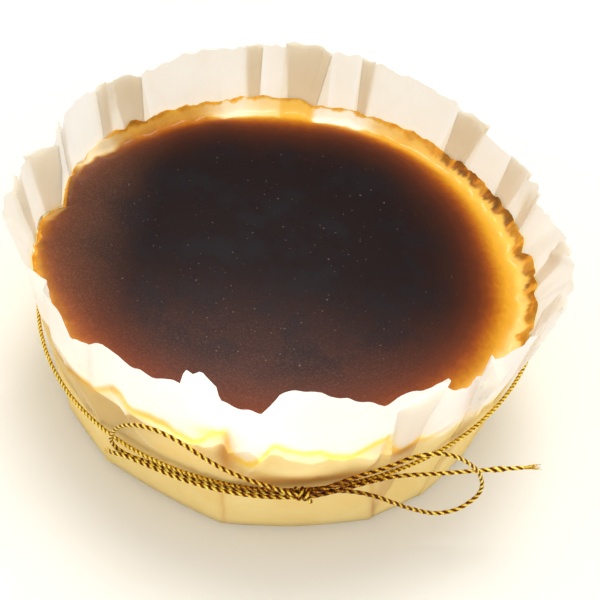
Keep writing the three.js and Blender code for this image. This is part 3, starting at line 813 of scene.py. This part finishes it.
def paper_material():
    """Greaseproof paper: it glows with the light behind it, and more so where the cake soaks it."""
    material, tree, place, soak, lap_shade, painted_glow, crest_glow, stain_and_shade, darker_left = new_material(
        "parchment", "soak", "lap_shade", "painted_glow", "crest_glow", "stain_and_shade", "darker_left")
    cloud = noise(place, 90, 4)
    fibre = noise(place, 700)
    dry = ramp(cloud, [(0.3, (0.945, 0.89, 0.795)), (0.7, (0.965, 0.925, 0.86))])
    wet = ramp(cloud, [(0.3, (0.955, 0.85, 0.55)), (0.7, (0.985, 0.92, 0.68))])
    colour = tint(dry, wet, soak)
    # Painted shade on the laps, where three layers let less of the light behind through.
    colour = tint(colour, (0.965, 0.94, 0.87, 1), lap_shade, blend="MULTIPLY")
    # Painted shade on the left wall below the soaked edge, away from the light.
    colour = tint(colour, (0.84, 0.80, 0.77, 1), darker_left, blend="MULTIPLY")
    # Painted glow beside the folds' inner edges and on backlit bands, and painted highlights on raised
    # creases.
    colour = tint(colour, (1.0, 0.99, 0.965, 1), painted_glow, 0.7)
    # Painted glow: the cake's gold edge shining through the paper along the soaked line.
    colour = tint(colour, (1.0, 0.80, 0.16, 1), crest_glow)
    # Brown: painted shade over the cord, in creases and patches, and a brown line at the soaked edge at the
    # left.
    colour = tint(colour, (0.74, 0.46, 0.13, 1), stain_and_shade)
    normal = bump(maths("ADD", times(cloud, 0.7), times(fibre, 0.3)), 0.25, 0.0004)
    front = add_node(tree, "BsdfPrincipled", {
        "Base Color": colour, "Roughness": 0.5, "Specular IOR Level": 0.3, "Normal": normal})
    through = add_node(tree, "BsdfTranslucent", {"Color": colour, "Normal": normal})
    share = maths("MULTIPLY_ADD", soak, 0.2, 0.55)
    return finish_material(material, add_node(tree, "MixShader", {0: share, 1: front, 2: through}))


def soak_height(azimuth):
    """How high the cake soaks the paper: to its crest, and higher where it ran up in a fold."""
    return read_table(SOAKED, azimuth) + waves(SOAK_WAVES, azimuth)


def lap_shares(top):
    """For columns whose place at the rim is given: 1 where the sheet lies three layers deep, for painted
    shade as less light passes through, and 1 just beside the inner edge of a fold, for painted glow where the
    single layer shines brightest."""
    lap_shade, painted_glow = np.zeros(len(top)), np.zeros(len(top))
    for _, line, _, _, inner, outer, _ in LAPPED_FOLDS:
        away = turn_between(line, top)
        lap_shade[(away > min(inner, outer) - 0.15) & (away < max(inner, outer) + 0.15)] = 1
        beyond = (away - inner) * math.copysign(1, inner - outer)
        painted_glow = np.maximum(painted_glow, np.where(beyond > 0.2, bell(beyond / 1.3), 0))
    strength = read_table(LAP_STRENGTH, top)
    return lap_shade * strength, painted_glow * strength


def stain_and_shade_share(azimuth, height, above_soak):
    """Where the soaked paper is brown: painted shadow where it bulges over the cord, a brown line along the
    soaked part's edge at the left, and painted shade in sharp creases and in patches."""
    bulging = window(azimuth, -94, -88, -72, -62) * bell((height - wrap_height(azimuth) - 1.9) / 3.2)
    left = 0.65 * window(azimuth, -150, -142, -110, -100)
    creases = sum(0.35 * (depth < -0.5) * within * bell(off / 0.6)
                  for _, depth, off, within in crease_marks(azimuth, height))
    edge = left * bell((above_soak + 0.6) / 1.3)
    return np.max([0.85 * bulging, edge, creases, *patches(SHADE_PATCHES, azimuth, height)], axis=0)


def make_paper():
    points, heights, azimuths, rim_azimuth = paper_points()
    ring = np.linspace(0, 360, FLOOR_COLUMNS, endpoint=False)
    edge = wall_radius(ring, 0 * ring) - 1.2
    floor_points = np.vstack([polar(ring, edge * part, ABOVE_FLOOR - 0.01)
                              for part in np.linspace(1, 0.02, ROWS_OF_FLOOR)])
    first, last = heights.size, heights.size + len(floor_points)
    faces = grid_faces(*heights.shape)
    faces += [face[::-1] for face in grid_faces(ROWS_OF_FLOOR, FLOOR_COLUMNS, first)]
    faces.append(tuple(reversed(range(last - FLOOR_COLUMNS, last))))
    above_soak = heights - soak_height(azimuths)
    turned = turn_between(0, azimuths)
    lap_shade, painted_glow = lap_shares(rim_azimuth)
    # Painted glow of the backlit paper at the back left and at the right.
    back_left = window(rim_azimuth, 146, 152, 169, 172)
    right = 0.6 * window(rim_azimuth, -68, -62, -22, -12)
    painted_glow = np.max([painted_glow, back_left, right], axis=0) * smoothstep(heights, 36, 40)
    # Painted highlights along the raised creases.
    shine = sum(0.8 * (depth > 0.6) * within * bell(off / 0.6)
                for _, depth, off, within in crease_marks(azimuths, heights))
    # Painted shade on the left wall, below the soaked edge and down to the cord.
    darker_left = window(turned, -160, -130, -122, -106) * smoothstep(above_soak, 0.5, -2)
    # Painted glow of the cake's gold edge through the paper, at the front and the left.
    crest_glow = window(turned, -146, -132, -60, -52) * bell((above_soak + 0.9) / 1.35)
    crest_glow = crest_glow * (1 - 0.45 * smoothstep(turned, -117, -123))
    shares = {
        "soak": smoothstep(above_soak, 1.1, -1.1),
        "lap_shade": lap_shade * smoothstep(heights, 30, 44),
        "painted_glow": np.maximum(painted_glow, shine),
        "crest_glow": np.max([crest_glow, *patches(GLOW_PATCHES, turned, heights)], axis=0),
        "stain_and_shade": stain_and_shade_share(turned, heights, above_soak),
        "darker_left": darker_left * smoothstep(heights - wrap_height(turned), -3, 1),
    }
    values = {name: np.append(share.ravel(), np.full(len(floor_points), name == "soak"))
              for name, share in shares.items()}
    new_piece("paper_case", np.vstack([points.reshape(-1, 3), floor_points]), faces, paper_material(),
              "paper_case", "parchment", **values)


# ---- The cake ----

def ragged_line(seed, coarse, fine):
    """Uneven values round the cake's edge, from waves of about 8 mm and of about 2 mm."""
    rng = np.random.default_rng(seed)
    turn = 2 * math.pi * np.arange(CAKE_COLUMNS) / CAKE_COLUMNS
    line = np.zeros(CAKE_COLUMNS)
    for low, high, size in ((40, 75, coarse), (150, 230, fine)):
        for count in rng.integers(low, high, 6):
            line += size / 6 ** 0.5 * np.sin(count * turn + rng.uniform(0, 6.3))
    return line


def top_relief(points):
    """The top's low swells, its pits and its few small blisters, as heights at the points."""
    rng = np.random.default_rng(11)
    relief = np.zeros(len(points))
    for wavelength, size in TOP_SWELLS:
        for _ in range(3):
            angle, phase = rng.uniform(0, 2 * math.pi, 2)
            along = points[:, 0] * math.cos(angle) + points[:, 1] * math.sin(angle)
            relief += size * np.sin(2 * math.pi * along / wavelength + phase)
    for _ in range(TOP_PITS):
        angle, out = rng.uniform(0, 2 * math.pi), 66 * rng.uniform(0, 1) ** 0.5
        size, deep = rng.uniform(0.45, 0.95), rng.uniform(0.1, 0.26)
        away = np.hypot(points[:, 0] - out * math.cos(angle), points[:, 1] - out * math.sin(angle)) / size
        rise = 0.35 * bell((away - 1.5) / 0.5) - bell(away)
        relief += deep * (rise if rng.uniform() < 0.75 else -0.8 * rise)
    return relief


def cake_material():
    """Burnt crust: near black in the middle, red brown to gold at the edge, and cream at the side."""
    material, tree, place, tone, lip, burnt, pale, wet, side = new_material(
        "burnt_crust", "tone", "lip", "burnt", "pale", "wet", "side")
    wobble = maths("MULTIPLY_ADD", noise(place, 28, 2), 0.06, -0.03)
    streak = maths("MULTIPLY_ADD", noise(place, 420, 4, 0.65), 0.034, -0.017)
    tone = maths("ADD", tone, maths("ADD", wobble, streak))
    colour = ramp(tone, [(at / TONE_REACH, code) for at, code in TOP_COLOURS])
    across = add_node(tree, "SeparateXYZ", {"Vector": place}, None).outputs
    # Painted sheen: the front of the top lighter and pinker, where the light behind reflects off it.
    to_front = span(across[1], -0.008, -0.07)
    to_left = span(across[0], -0.04, -0.066)
    darker_left = times(to_left, span(tone, 0.87, 0.78))
    colour = tint(colour, "5a4034", darker_left, 0.5)
    colour = tint(colour, "6a443c", to_front, 0.3)
    in_middle = span(tone, 0.72, 0.5)
    dusk = times(span(noise(place, 75, 5, 0.6), 0.44, 0.62), in_middle)
    colour = tint(colour, "1b191d", dusk, 0.55)
    dot = times(span(noise(place, 900, 1), 0.73, 0.78), in_middle)
    colour = tint(colour, "8c7068", dot, 0.45)
    # Painted glints on the fine grain at the left and the front, as part of the painted sheen.
    sheen = maths("MULTIPLY_ADD", to_left, 0.22, times(to_front, 0.15))
    sheen_glint = times(span(noise(place, 1900, 5, 0.8), 0.47, 0.7), sheen)
    colour = tint(colour, "b08068", sheen_glint)
    band = maths("MULTIPLY_ADD", noise(place, 160), 0.7, 0.3)
    # Pale cream in the groove: partly the crust's own colour, partly painted glow of light through the paper.
    glow = ramp(pale, [(0.2, "f4cc6c"), (0.6, "fae4a8"), (1.0, "fff8e6")])
    colour = tint(colour, glow, pale)
    char = ramp(noise(place, 330), [(0.36, "562203"), (0.56, "8a4206"), (0.76, "e08a16")])
    amber = ramp(noise(place, 500, 2), [(0.35, "f0a02a"), (0.65, "ffc04a")])
    char = tint(amber, char, times(burnt, span(band, 0.36, 0.5)))
    colour = tint(colour, char, lip, 0.9)
    colour = tint(colour, "fcecb8", side)
    grain = maths("ADD", times(noise(place, 260, 4), 0.6), times(noise(place, 1500), 0.4))
    normal = bump(grain, 0.5, 0.0005)
    return finish_material(material, add_node(tree, "BsdfPrincipled", {
        "Base Color": colour, "Roughness": 0.5, "Specular IOR Level": 0.03, "Normal": normal,
        "Coat Weight": wet, "Coat Roughness": 0.22}))


def make_cake():
    azimuth = np.linspace(-180, 180, CAKE_COLUMNS, endpoint=False)
    flat = np.zeros(CAKE_COLUMNS)
    burnt, shift, width, gloss, pale = (
        read_table(table, azimuth) for table in (BURNT, TONE_SHIFT, LIP_WIDTH, WET, PALE_GLOW))
    reach = read_table(PALE_GLOW, azimuth, 2)
    smooth = window(azimuth % 360, *SMOOTH_SIDE)
    lipped, sloping = (smooth_route(table, 0.1)[0].T for table in (CAKE_TOP, SMOOTH_TOP))
    jagged = ragged_line(3, 0.45, 0.12)
    width = width * (1 + ragged_line(8, 0.2, 0.07))
    swell = ragged_line(14, 0.22, 0.03)
    rings, shares = [], {"lip": [], "burnt": [], "pale": [], "wet": [], "side": []}

    def ring(height, inset, **values):
        level = np.minimum(flat + height, CREST_HEIGHT)
        edge = wall_radius(azimuth, level) + np.minimum(crumple(azimuth, level), 0.2) - CAKE_FLOOR
        edge = edge + (edge.mean() - edge) * smoothstep(inset, 1.5, 13)
        rings.append(polar(azimuth, edge - inset, height))
        for name, kept in shares.items():
            kept.append(flat + values.get(name, 0))

    for inset in np.linspace(60, CAKE_BASE_ROUNDING, 6):
        ring(CAKE_FLOOR, inset, side=1)
    for turn in np.radians(np.linspace(0, 90, 5)[1:]):
        drop, rise = CAKE_BASE_ROUNDING * (1 - np.sin(turn)), CAKE_BASE_ROUNDING * (1 - np.cos(turn))
        ring(CAKE_FLOOR + rise, drop, side=1)
    for level in np.linspace(CAKE_FLOOR + CAKE_BASE_ROUNDING, CREST_HEIGHT - 2, 16)[1:]:
        ring(level, 0, side=1)
    for inset in np.append(np.arange(0, 12, 0.25), np.arange(12, 73, 0.8)):
        height, share = (
            np.interp(inset, lipped[0], lipped[kind]) * (1 - smooth)
            + np.interp(inset, sloping[0], sloping[kind]) * smooth for kind in (1, 2))
        height = height + share * waves(CREST_WAVES, azimuth)
        height = height + bell((inset - 0.6) / 1.1) * jagged + bell((inset - 4.2) / 2.2) * swell
        groove = window(inset, width * 0.9, width * 1.3, reach * 0.55, reach)
        ring(height, inset, lip=smoothstep(inset, width + 0.4, width - 0.3), burnt=burnt, pale=pale * groove,
             wet=gloss * window(inset, 0.8, 2, 5, 9), side=float(inset < 0.2))
    points = np.vstack([*rings, [(0, 0, CAKE_FLOOR), (0, 0, MIDDLE_HEIGHT)]])
    from_middle = np.hypot(points[:, 0], points[:, 1])
    on_top = (points[:, 2] > CREST_HEIGHT - 5) & (from_middle < 66)
    points[on_top, 2] += top_relief(points[on_top]) * smoothstep(from_middle[on_top], 66, 58)
    faces = grid_faces(len(rings), CAKE_COLUMNS)
    bottom, centre, last = len(points) - 2, len(points) - 1, len(points) - 2 - CAKE_COLUMNS
    for column in range(CAKE_COLUMNS):
        following = (column + 1) % CAKE_COLUMNS
        faces.append((bottom, following, column))
        faces.append((last + column, last + following, centre))
    values = {name: np.append(np.concatenate(kept), (name == "side", 0)) for name, kept in shares.items()}
    from_dark = np.hypot(points[:, 0] - DARK_CENTRE[0], points[:, 1] - DARK_CENTRE[1])
    values["tone"] = (from_dark + np.append(np.tile(shift, len(rings)), (0, 0))) / TONE_REACH
    new_piece("cake", points, faces, cake_material(), "cake", "crust", **values)


make_camera()
make_cords()
make_studio()
make_cake()
make_paper()
